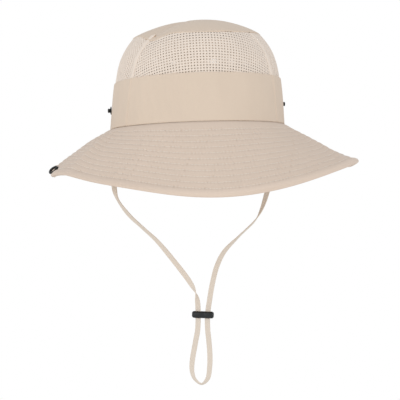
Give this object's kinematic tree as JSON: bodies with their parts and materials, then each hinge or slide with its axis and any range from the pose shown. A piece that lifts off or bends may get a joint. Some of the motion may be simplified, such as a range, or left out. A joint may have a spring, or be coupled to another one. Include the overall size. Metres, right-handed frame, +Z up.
{
  "type": "boonie hat",
  "caption": "Boonie hat with vented mesh crown band, wide topstitched drooping brim that folds up onto side snaps, and a flat chin strap with a sliding toggle.",
  "frame": {"origin": "centre of the head opening, in the plane of the crown and brim seam", "axes": "+Z up through the crown, -Y to the front of the hat, +X to the right as seen from the front camera"},
  "size_m": [0.3103, 0.282, 0.3663],
  "materials": {
    "shell_fabric": "matt plain-weave nylon, pale sand",
    "mesh_fabric": "matt knitted mesh with small round holes",
    "brim_fabric": "matt plain weave, topstitched in rows",
    "interlining": "matt felted stiffener",
    "sweatband_fabric": "matt soft twill",
    "lining_tape": "matt ribbed seam tape",
    "thread": "matt spun thread",
    "strap_tape": "matt woven flat tape",
    "toggle_plastic": "satin dark moulded plastic",
    "snap_metal": "satin gunmetal enamel"
  },
  "bodies": {
    "hat": {"crown_top_panel": "shell_fabric", "crown_mesh_front": "mesh_fabric", "crown_mesh_back": "mesh_fabric", "crown_band_front": "shell_fabric", "crown_band_back": "shell_fabric", "band_seam_tape": "lining_tape", "top_seam_tape": "lining_tape", "sweatband": "sweatband_fabric", "brim_upper_center": "brim_fabric", "brim_interlining_center": "interlining", "brim_lower_center": "brim_fabric", "crown_stud_left": "snap_metal", "crown_stud_right": "snap_metal", "stud_eyelet_left": "snap_metal", "stud_eyelet_right": "snap_metal"},
    "left_brim_flap": {"brim_upper_left": "brim_fabric", "brim_interlining_left": "interlining", "brim_lower_left": "brim_fabric", "brim_socket_left": "snap_metal", "socket_cap_left": "snap_metal"},
    "right_brim_flap": {"brim_upper_right": "brim_fabric", "brim_interlining_right": "interlining", "brim_lower_right": "brim_fabric", "brim_socket_right": "snap_metal", "socket_cap_right": "snap_metal"},
    "chin_strap": {"chin_strap": "strap_tape"},
    "strap_toggle": {"strap_toggle": "toggle_plastic"}
  },
  "joints": [
    {"name": "left_brim_fold", "type": "hinge", "parent": "hat", "child": "left_brim_flap", "pos_m": [-0.11034, 0, -0.01471], "axis": [0, 1, 0], "range_deg": [0, 150]},
    {"name": "right_brim_fold", "type": "hinge", "parent": "hat", "child": "right_brim_flap", "pos_m": [0.1153, 0, -0.01477], "axis": [0, -1, 0], "range_deg": [0, 147]},
    {"name": "chin_strap_swing", "type": "hinge", "parent": "hat", "child": "chin_strap", "pos_m": [0, 0, -0.006], "axis": [1, 0, 0], "range_deg": [-45, 45]},
    {"name": "toggle_slide", "type": "slide", "parent": "chin_strap", "child": "strap_toggle", "axis": [0.0314, 0, 0.9995], "range_m": [-0.016, 0.002]}
  ]
}
